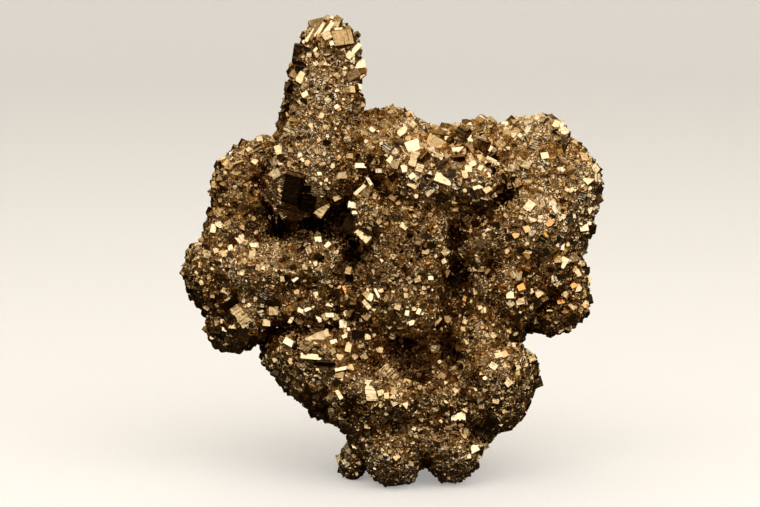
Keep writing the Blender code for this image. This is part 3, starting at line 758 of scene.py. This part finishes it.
def make_forms():
    forms = {"cube": hull([np.array(c) * 0.46 for c in CORNERS])}
    forms["octahedron"] = hull([s * 0.62 * np.eye(3)[k] for k in range(3) for s in (-1, 1)])
    h = 0.5
    short, tall = 1.0 - h * h, 1.0 + h
    corners = [np.array(c, float) for c in CORNERS]
    for p in (-1, 1):
        for q in (-1, 1):
            corners += [np.array(c) for c in ((0, p * tall, q * short), (p * short, 0, q * tall), (p * tall, q * short, 0))]
    forms["dodecahedron"] = hull([c / (2 * tall) for c in corners])
    cut = 0.30
    truncated = []
    for c in CORNERS:
        for k in range(3):
            q = np.array(c, float)
            q[k] *= 1 - cut
            truncated.append(q * 0.47)
    forms["truncated"] = hull(truncated)
    r = 0.72
    forms["corner"] = hull([(0, 0, 0.46)] + [(r * math.cos(a), r * math.sin(a), -0.06) for a in (0, math.tau / 3, 2 * math.tau / 3)])
    bevel = [(x, y, z) for x, y in ((-0.46, -0.34), (-0.34, -0.46), (0.34, -0.46), (0.46, -0.34), (0.46, 0.34), (0.34, 0.46), (-0.34, 0.46), (-0.46, 0.34)) for z in (-0.46, 0.46)]
    forms["bevelled"] = hull(bevel)
    return forms


FORMS = make_forms()


def cut_form(planes):
    """A convex solid from its planes, each a direction and a distance: its points, and its faces as rings."""
    normals = np.array([p[0] for p in planes], float)
    normals /= np.linalg.norm(normals, axis=1)[:, None]
    far = np.array([p[1] for p in planes])
    verts = []
    for i in range(len(planes)):
        for j in range(i + 1, len(planes)):
            for k in range(j + 1, len(planes)):
                m = normals[[i, j, k]]
                if abs(np.linalg.det(m)) < 1e-6:
                    continue
                q = np.linalg.solve(m, far[[i, j, k]])
                if (normals @ q <= far + 1e-7).all() and all(np.abs(q - v).max() > 1e-5 for v in verts):
                    verts.append(q)
    verts = np.array(verts)
    rings = []
    for normal, d in zip(normals, far):
        ring = np.flatnonzero(np.abs(verts @ normal - d) < 1e-6)
        if len(ring) < 3:
            continue
        middle = verts[ring].mean(0)
        x = verts[ring[0]] - middle
        y = np.cross(normal, x)
        rings.append(sorted(ring.tolist(), key=lambda q: math.atan2((verts[q] - middle) @ y, (verts[q] - middle) @ x)))
    return verts, rings


def uneven_forms():
    """Crystals that grew unevenly: cubes with cut corners, lopsided twelve-sided ones and short prisms."""
    local = np.random.default_rng(5)
    made = {"block": [], "pentagon": [], "eight": []}
    for _ in range(12):
        planes = [(s * np.eye(3)[k], local.uniform(0.30, 0.50)) for k in range(3) for s in (-1, 1)]
        for _ in range(local.integers(0, 4)):
            c = np.array(CORNERS[local.integers(0, 8)], float) + local.normal(size=3) * 0.12
            planes.append((c, local.uniform(0.46, 0.62)))
        made["block"].append(cut_form(planes))
    for _ in range(8):
        planes = [(np.roll((0.0, p * 2.0, q * 1.0), k), local.uniform(0.36, 0.47)) for k in range(3) for p in (-1, 1) for q in (-1, 1)]
        made["pentagon"].append(cut_form(planes))
    for _ in range(6):
        planes = [(np.array(c, float), local.uniform(0.32, 0.42)) for c in CORNERS]
        planes += [(s * np.eye(3)[k], local.uniform(0.42, 0.62)) for k in range(3) for s in (-1, 1)]
        made["eight"].append(cut_form(planes))
    return made


UNEVEN = uneven_forms()
worn = [(s * np.eye(3)[k], 0.46) for k in range(3) for s in (-1, 1)]
worn += [((a, b, 0), 0.60) for a in (-1, 1) for b in (-1, 1)] + [((a, 0, b), 0.60) for a in (-1, 1) for b in (-1, 1)] + [((0, a, b), 0.60) for a in (-1, 1) for b in (-1, 1)]
FORMS["edged"] = cut_form(worn)  # a cube whose edges are slightly cut, so that they catch the light


def stepped_cube(n, depth, seed):
    """A cube whose four upright faces are cut into n steps each, as pyrite's are."""
    local = np.random.default_rng(seed)
    outline = []
    for side in range(4):
        t = math.radians(90 * side)
        edges = np.sort(np.concatenate([[-0.46, 0.46], local.uniform(-0.44, 0.44, n - 1)]))
        levels = 0.46 - depth * local.random(n)
        for k in range(n):
            for e in (edges[k], edges[k + 1]):
                x, y = e, -levels[k]
                if abs(e) > 0.459:
                    x = math.copysign(0.46 - depth * 0.5, e)
                outline.append((x * math.cos(t) - y * math.sin(t), x * math.sin(t) + y * math.cos(t)))
    m = len(outline)
    verts = np.array([(x, y, z) for z in (-0.46, 0.46) for x, y in outline])
    rings = [list(range(m))[::-1], list(range(m, 2 * m))]
    rings += [[k, (k + 1) % m, (k + 1) % m + m, k + m] for k in range(m)]
    return verts, rings


def stacked_plates(seed):
    """Plates stacked along X, as coarse striation: separate closed boxes that overlap."""
    local = np.random.default_rng(seed)
    verts, rings = [], []
    x = -0.48
    while x < 0.44:
        thick = local.uniform(0.05, 0.13)
        wy, wz = local.uniform(0.34, 0.48, 2)
        base = len(verts)
        box, faces = FORMS["cube"]
        for c in box:
            verts.append((x + thick / 2 + np.sign(c[0]) * thick * 0.55, np.sign(c[1]) * wy, np.sign(c[2]) * wz))
        rings += [[base + q for q in f] for f in faces]
        x += thick
    return np.array(verts), rings


# ---------------------------------------------------------------- where the crystals go
tree = BVHTree.FromPolygons([Vector(p) for p in points.tolist()], quads.tolist())
sheet = Matrix(((1, 0, 0), (0, math.sin(LEAN), math.cos(LEAN)), (0, -math.cos(LEAN), math.sin(LEAN)))).transposed()


def facing(right, up, spin):
    z = Vector((right, up, math.sqrt(1 - right * right - up * up)))
    x = (Vector((1, 0, 0)) - z * z.x).normalized()
    return Matrix((x, z.cross(x), z)).transposed() @ Matrix.Rotation(math.radians(spin), 3, "Z")


batches = []  # (verts, rings, places n,3, turns n,3,3, sizes n,3, tones n, rusts n)


def spot_at(across, down):
    start = place(across, down, -400)
    aim = (place(across, down, 400) - start).normalized()
    spot, normal, _, _ = tree.ray_cast(start, aim)
    if spot is not None and normal.dot(aim) > 0:
        normal = -normal
    return spot, normal


large = []  # centre and width of each crystal placed one by one
for k, (across, down, long, wide, right, up, spin, tone, form) in enumerate(SLABS):
    spot, normal = spot_at(across, down)
    if spot is None:
        continue
    thick = 0.7 * min(long, wide)
    if form == "step":
        shape = stepped_cube(6, 0.06, k)
    elif form == "plates":
        shape = stacked_plates(k)
    elif form == "block":
        shape = UNEVEN["block"][k % len(UNEVEN["block"])]
    elif form == "eight":
        shape = UNEVEN["eight"][k % len(UNEVEN["eight"])]
    elif form == "cube" and long < 1.9 * wide:
        shape = UNEVEN["block"][(5 * k) % len(UNEVEN["block"])]
    else:
        shape = FORMS["edged"]
    turn = sheet @ facing(right, up, spin)
    lift = max(1.8, 0.42 * thick) if min(long, wide) >= 8 and down > 112 and form in ("cube", "block", "slab", "eight") else 1.8
    centre = spot + turn.col[2] * ((lift - 0.5 * thick) * GRID) + normal * (0.8 * GRID)
    batches.append((*shape, [centre], [turn], [[long * GRID * 1.08, wide * GRID * 1.08, thick * GRID]], [0.72 if tone < 0 else tone], [max(0.0, -tone)]))
    large.append((spot, 0.55 * (long + wide) * GRID))
    if long > 1.5 * wide:
        for side in (-0.3, 0.3):
            large.append((spot + turn.col[0] * (side * long * GRID), wide * GRID))

# further large crystals on the flanks and the back, as in the CAD part
middle = place(400, 260, 34)
for k in range(40):
    height = 0.92 - 1.5 * (k + 0.5) / 40
    angle = k * math.pi * (3.0 - math.sqrt(5.0))
    out = Vector((math.cos(angle), math.sin(angle), 0)) * math.sqrt(1 - height * height) + Vector((0, 0, height))
    if out.y < 0.15:
        out.y = 0.3 - out.y
        out.normalize()
    spot, normal, _, _ = tree.ray_cast(middle + out * 0.2, -out)
    if spot is None or spot.z < 0.008:
        continue
    width = 11.0 + 9.0 * ((k * 7) % 11) / 10
    turn = Euler((k * 1.3, k * 2.1, k * 0.7)).to_matrix()
    form = ("cube", "dodecahedron", "cube", "plates")[k % 4]
    shape = {"cube": lambda: stepped_cube(5, 0.05, k), "plates": lambda: stacked_plates(k)}.get(form, lambda: FORMS[form])()
    centre = spot + normal * ((SKIN - SUNK * 0.5 * width) * GRID)
    batches.append((*shape, [centre], [turn], [[width * GRID] * 3], [0.75], [0.0]))
    large.append((centre, width * GRID))


# the druse. First its medium crystals: candidates all over the skin, the largest first, each kept if it has room.
flat = cross / np.maximum(2 * area, 1e-18)[:, None]
eye = np.array(place(EYE_ACROSS, EYE_DOWN, -EYE_BACK))
centres = (corner_a + corner_b + corner_c) / 3


def spread(chosen, u, v):
    """Points, normals and openness at places inside the chosen triangles."""
    over = u + v > 1
    u, v = np.where(over, 1 - u, u), np.where(over, 1 - v, v)
    w = np.stack([1 - u - v, u, v])
    t = tris[chosen]
    p = sum(points[t[:, k]] * w[k][:, None] for k in range(3))
    n = sum(vert_normals[t[:, k]] * w[k][:, None] for k in range(3))
    o = sum(openness[t[:, k]] * w[k] for k in range(3))
    return p, n / np.maximum(np.linalg.norm(n, axis=1), 1e-12)[:, None], o


def local_width(p, n):
    """The usual crystal width at each point, in squares, and how much the front view shows of it."""
    s = layout_all(p)
    total, weight = np.full(len(p), 3.4 * 0.15), np.full(len(p), 0.15)
    for across, down, ra, rd, width in ZONES:
        w = np.exp(-(((s[:, 0] - across) / ra) ** 2 + ((s[:, 1] - down) / rd) ** 2) * 1.6)
        total += w * width
        weight += w
    width = total / weight
    to_eye = eye - p
    to_eye /= np.linalg.norm(to_eye, axis=1)[:, None]
    seen = np.clip((np.einsum("ij,ij->i", to_eye, n) + 0.15) / 0.3, 0, 1)
    back = BACK_WIDTH * (1 + 0.55 * np.array([noise.noise(Vector(q) / (70 * GRID)) for q in p.tolist()]))
    return width * seen + back * (1 - seen), seen


def sift(p, widths, gap, free):
    """Keeps points in order, widest first, and frees none that is nearer than gap times the mean of two widths to a kept one."""
    finder = KDTree(len(p))
    pl, wl = p.tolist(), widths.tolist()
    for i, q in enumerate(pl):
        finder.insert(q, i)
    finder.balance()
    for centre, width in large:
        for _, i, _ in finder.find_range(centre, width * 0.56):
            free[i] = False
    kept = []
    for i in range(len(pl)):
        if free[i]:
            kept.append(i)
            w = wl[i]
            for _, j, d in finder.find_range(pl[i], gap * w):
                if d < gap * 0.5 * (w + wl[j]):
                    free[j] = False
    return np.array(kept)


def random_turns(n):
    q = rng.normal(size=(n, 4))
    q /= np.linalg.norm(q, axis=1)[:, None]
    w, x, y, z = q.T
    return np.stack([
        1 - 2 * (y * y + z * z), 2 * (x * y - w * z), 2 * (x * z + w * y),
        2 * (x * y + w * z), 1 - 2 * (x * x + z * z), 2 * (y * z - w * x),
        2 * (x * z - w * y), 2 * (y * z + w * x), 1 - 2 * (x * x + y * y),
    ], axis=1).reshape(n, 3, 3)


def turns_along(n_dirs, tilt):
    """Turns whose Z is near each direction."""
    z = n_dirs + rng.normal(size=n_dirs.shape) * tilt
    z /= np.linalg.norm(z, axis=1)[:, None]
    a = rng.normal(size=z.shape)
    x = np.cross(a, z)
    x /= np.linalg.norm(x, axis=1)[:, None]
    return np.stack([x, np.cross(z, x), z], axis=2)


def tones(p, o):
    """Each crystal's tone, darkened by painted shade in crevices and made paler or darker by the painted light and
    shade of the patches, and how rusty it is.
    """
    patch = 0.25 * np.array([noise.noise(Vector(q) / (30 * GRID)) for q in p.tolist()])
    where = layout_all(p)
    # painted light and shade: patches of the front made paler or darker
    for across, down, ra, rd, more in PAINTED_LIGHT_AND_SHADE:
        near = np.exp(-(((where[:, 0] - across) / ra) ** 2 + ((where[:, 1] - down) / rd) ** 2) * 1.4)
        patch += more * near * (p[:, 1] < 0.002)
    # each crystal's tone differs at random; painted shade then darkens it where the skin is least open, in crevices
    shade = np.clip(rng.normal(0.68, 0.20, len(p)) + patch, 0.02, 1) * (0.25 + 0.75 * o)
    rusty = np.exp(-(((where[:, 0] - 562) / 34) ** 2 + ((where[:, 1] - 296) / 34) ** 2)) * 0.22 + 0.006
    return shade, np.where(rng.random(len(p)) < rusty, rng.uniform(0.35, 0.9, len(p)), 0.0)


coarse = 1.0
triangle_width, _ = local_width(centres, flat)
weight = area / triangle_width**2
chosen = rng.choice(len(tris), int(90000 / coarse), p=weight / weight.sum())
p, n, o = spread(chosen, rng.random(len(chosen)), rng.random(len(chosen)))
usual, seen = local_width(p, n)
widths = np.clip(usual * 0.92 * np.clip(rng.random(len(p)) ** (-1 / 3.4), 1, 3.0), 2.3, 10.5)
order = np.argsort(-widths)
p, n, o, widths, usual = p[order], n[order], o[order], widths[order], usual[order]
free = ((p[:, 2] > 0.0012) | (n[:, 2] > -0.3)).tolist()
kept = sift(p, widths * GRID, 0.80, free)
kept = kept[rng.random(len(kept)) < np.clip((widths[kept] - 1.0) / 5.0, 0.15, 0.95)]
p, n, o, widths = p[kept], n[kept], o[kept], widths[kept]
print("medium", len(p))
tone, rust = tones(p, o)
kind = rng.random(len(p))
kinds = {"block": kind < 0.52, "pentagon": (kind >= 0.52) & (kind < 0.70), "eight": (kind >= 0.70) & (kind < 0.82), "corner": kind >= 0.82}
for form, m in kinds.items():
    shapes = UNEVEN.get(form) or [FORMS["corner"]]
    pick = rng.integers(0, len(shapes), len(p))
    for k, shape in enumerate(shapes):
        f = m & (pick == k)
        c = int(f.sum())
        if not c:
            continue
        turns = turns_along(n[f], 0.45) if form == "corner" else random_turns(c)
        scale = widths[f][:, None] * GRID * rng.uniform(0.85, 1.2, (c, 3))
        batches.append((*shape, p[f] - n[f] * (widths[f] * GRID * 0.09)[:, None], turns, scale, tone[f], rust[f]))
medium_finder = KDTree(len(p))
for i, q in enumerate(p.tolist()):
    medium_finder.insert(q, i)
medium_finder.balance()
medium_widths = widths * GRID

# then its fine crystals: as many on each bit of skin as cover it, evenly spread
fine_width = np.clip(0.95 + 0.21 * triangle_width, 1.4, 2.5)
_, triangle_seen = local_width(centres, flat)
fine_width = (fine_width * triangle_seen + 3.4 * (1 - triangle_seen)) * 1.0
count = area / (0.62 * fine_width * GRID) ** 2 * 0.62
count = np.floor(count + rng.random(len(count))).astype(int)
chosen = np.repeat(np.arange(len(tris)), count)
k = np.arange(len(chosen)) - np.repeat(np.cumsum(count) - count, count)
start = rng.random((len(tris), 2))[chosen]
p, n, o = spread(chosen, (start[:, 0] + k * 0.7548777) % 1, (start[:, 1] + k * 0.5698403) % 1)
widths = fine_width[chosen] * np.clip(np.exp(rng.normal(0.0, 0.28, len(p))), 0.6, 2.0)
free = (p[:, 2] > 0.0010) | (n[:, 2] > -0.3)
large_finder = KDTree(len(large))
for i, (centre, _) in enumerate(large):
    large_finder.insert(centre, i)
large_finder.balance()
for i, q in enumerate(p.tolist()):
    if free[i]:
        for _, j, d in medium_finder.find_range(q, 6 * GRID):
            if d < 0.36 * medium_widths[j]:
                free[i] = False
                break
        else:
            for _, j, d in large_finder.find_range(q, 20 * GRID):
                if d < 0.50 * large[j][1]:
                    free[i] = False
                    break
p, n, o, widths = p[free], n[free], o[free], widths[free]
print("fine", len(p))
tone, rust = tones(p, o)
kind = rng.random(len(p))
for form, m in {"corner": kind < 0.78, "octahedron": kind >= 0.78}.items():
    c = int(m.sum())
    turns = turns_along(n[m], 0.55) if form == "corner" else random_turns(c)
    scale = widths[m][:, None] * GRID * rng.uniform(0.8, 1.25, (c, 3))
    if form == "corner":
        scale[:, 2] *= rng.uniform(0.55, 1.0, c)
    batches.append((*FORMS[form], p[m] + n[m] * (widths[m] * GRID * 0.04)[:, None], turns, scale, tone[m], rust[m]))


# ---------------------------------------------------------------- the crystals' meshes, by region
def region_of(c):
    """Which piece a crystal at c belongs to."""
    front = c[:, 1] < -0.004
    right = c[:, 0] > 0.004
    level = np.digitize(c[:, 2], (0.038, 0.066))
    return front * 6 + right * 3 + level


names = [f"{a}_{b}_{c}" for a in ("back", "front") for b in ("left", "right") for c in ("low", "middle", "high")]
store = {k: dict(verts=[], loops=[], sizes=[], tone=[], rust=[], facet=[], grain=[], base=0) for k in range(len(names))}
for verts, rings, spots, turns, scales, tones, rusts in batches:
    verts = np.asarray(verts)
    spots, turns, scales = np.asarray(spots, float), np.asarray([np.array(t) for t in turns], float), np.asarray(scales, float)
    tones, rusts = np.asarray(tones, float), np.asarray(rusts, float)
    sizes = np.array([len(r) for r in rings])
    loops = np.concatenate([np.array(r) for r in rings])
    regions = region_of(spots)
    # the striation's direction on each face: across the face's first edge
    line = []
    for ring in rings:
        v = verts[ring]
        normal = np.cross(v[1] - v[0], v[2] - v[1])
        along = np.eye(3)[(int(np.argmax(np.abs(normal))) + 1) % 3]
        line.append(v @ along)
    line = np.concatenate(line)
    for k in np.unique(regions):
        m = regions == k
        c = int(m.sum())
        s = store[int(k)]
        co = np.einsum("nij,nvj->nvi", turns[m], verts[None] * scales[m][:, None, :]) + spots[m][:, None, :]
        s["verts"].append(co.reshape(-1, 3))
        s["loops"].append((loops[None] + (np.arange(c) * len(verts))[:, None]).ravel() + s["base"])
        s["base"] += c * len(verts)
        s["sizes"].append(np.tile(sizes, c))
        s["tone"].append(np.repeat(tones[m], len(sizes)))
        s["rust"].append(np.repeat(rusts[m], len(sizes)))
        s["facet"].append(rng.random(c * len(sizes)))
        s["grain"].append((line[None] * (scales[m].mean(1) / GRID)[:, None] + rng.random((c, 1)) * 900.0).ravel())

for k, s in store.items():
    if not s["verts"]:
        continue
    verts, loops, sizes = (np.concatenate(s[x]) for x in ("verts", "loops", "sizes"))
    verts[:, 2] = np.maximum(verts[:, 2], 0.0)
    mesh = fill_mesh("druse_" + names[k], verts, loops, sizes)
    for key in ("tone", "rust", "facet"):
        mesh.attributes.new(key, "FLOAT", "FACE").data.foreach_set("value", np.concatenate(s[key]).astype(np.float32))
    mesh.attributes.new("grain", "FLOAT", "CORNER").data.foreach_set("value", np.concatenate(s["grain"]).astype(np.float32))
    show(mesh, "druse_" + names[k], crystals_mat)
    print(names[k], len(sizes), "faces", int((sizes - 2).sum()), "triangles")


# ---------------------------------------------------------------- studio
def stage_bowl():
    """A pale round floor that curves up into a wall all round."""
    profile = [(0.0, 0.0), (0.5, 0.0), (1.5, 0.0)]
    for k in range(1, 13):
        a = math.radians(90 * k / 12)
        profile.append((1.5 + 0.7 * math.sin(a), 0.7 - 0.7 * math.cos(a)))
    profile.append((2.2, 2.4))
    turns = 64
    verts = [(0.0, 0.0, 0.0)]
    verts += [(r * math.cos(math.tau * j / turns), r * math.sin(math.tau * j / turns), z) for r, z in profile[1:] for j in range(turns)]
    loops, sizes = [], []
    for j in range(turns):
        loops += [0, 1 + j, 1 + (j + 1) % turns]
        sizes.append(3)
    for k in range(len(profile) - 2):
        for j in range(turns):
            a, b = 1 + k * turns + j, 1 + k * turns + (j + 1) % turns
            loops += [a, a + turns, b + turns, b]
            sizes.append(4)
    mesh = fill_mesh("floor", np.array(verts), np.array(loops), np.array(sizes))
    for poly in mesh.polygons:
        poly.use_smooth = True
    floor = bpy.data.objects.new("floor", mesh)
    bpy.context.scene.collection.objects.link(floor)
    mat, nt, b = principled("floor_paper", 0.0)
    where_in = node(nt, "ShaderNodeTexCoord").outputs["Object"]
    tex = node(nt, "ShaderNodeTexNoise", Scale=900.0, Detail=2.0)
    nt.links.new(where_in, tex.inputs["Vector"])
    tint = ramp(nt, tex.outputs["Fac"], [(0.3, (0.70, 0.69, 0.67)), (0.7, (0.74, 0.73, 0.71))])
    nt.links.new(tint.outputs["Color"], b.inputs["Base Color"])
    b.inputs["Roughness"].default_value = 0.8
    b.inputs["Specular IOR Level"].default_value = 0.2
    b.inputs["Emission Color"].default_value = (1.0, 0.98, 0.95, 1)
    b.inputs["Emission Strength"].default_value = 0.27
    mesh.materials.append(mat)
    floor.visible_glossy = False


stage_bowl()


def softbox(name, right, up, forward, distance, size, watts, colour=(1, 1, 1)):
    """An area light in a direction given on the sheet, aimed at the middle of the specimen."""
    aim = place(395, 260, 0)
    away = (sheet @ Vector((right, up, forward))).normalized()
    data = bpy.data.lights.new(name, "AREA")
    data.shape, data.size, data.size_y = "RECTANGLE", size[0], size[1]
    data.energy, data.color = watts, colour
    light = bpy.data.objects.new(name, data)
    light.location = aim + away * distance
    light.rotation_euler = away.to_track_quat("Z", "Y").to_euler()
    bpy.context.scene.collection.objects.link(light)
    return light


softbox("key", 0.30, 0.70, 0.75, 0.90, (1.60, 1.25), 6.9, (1.0, 0.965, 0.915))
softbox("key_core", 0.30, 0.70, 0.75, 0.86, (0.72, 0.55), 0.45, (1.0, 0.98, 0.95))
softbox("top_left", -0.60, 0.75, 0.45, 0.90, (0.80, 0.80), 1.5, (1.0, 0.97, 0.93))
softbox("left", -1.0, 0.15, 0.60, 0.90, (0.40, 0.90), 0.08, (1.0, 0.98, 0.95))
softbox("right", 0.90, 0.40, 0.60, 0.90, (0.50, 0.80), 0.25, (1.0, 0.95, 0.88))
world = bpy.data.worlds.new("studio")
bpy.context.scene.world = world
world.use_nodes = True
sky_nodes = world.node_tree
sky = sky_nodes.nodes["Background"]
height_of = sky_nodes.nodes.new("ShaderNodeSeparateXYZ")
sky_nodes.links.new(sky_nodes.nodes.new("ShaderNodeTexCoord").outputs["Generated"], height_of.inputs[0])
dome = ramp(sky_nodes, height_of.outputs["Z"], [(0.0, (0.015, 0.011, 0.007)), (0.5, (0.084, 0.062, 0.038)), (1.0, (0.34, 0.265, 0.165))])
toward = sky_nodes.nodes.new("ShaderNodeVectorMath")
toward.operation = "DOT_PRODUCT"
toward.inputs[1].default_value = Vector((-0.15, 0.60, 0.78)).normalized()
sky_nodes.links.new(height_of.inputs[0].links[0].from_socket, toward.inputs[0])
window_light = ramp(sky_nodes, toward.outputs["Value"], [(0.80, (0, 0, 0)), (0.90, (0.85, 0.78, 0.66)), (1.0, (1.0, 0.93, 0.80))])
sky_nodes.links.new(mix(sky_nodes, "ADD", 1.0, dome.outputs["Color"], window_light.outputs["Color"]), sky.inputs["Color"])
sky.inputs["Strength"].default_value = 1.0

camera_data = bpy.data.cameras.new("camera")
camera = bpy.data.objects.new("camera", camera_data)
bpy.context.scene.collection.objects.link(camera)
bpy.context.scene.camera = camera
camera_data.sensor_width = 36.0
camera_data.lens = 36.0 * EYE_BACK / 760
camera_data.clip_start = 0.02
forward = sheet @ Vector((0, 0, -1))
camera.location = place(EYE_ACROSS, EYE_DOWN, -EYE_BACK)
camera.rotation_euler = forward.to_track_quat("-Z", "Y").to_euler()
bpy.context.scene.view_settings.view_transform = "Standard"
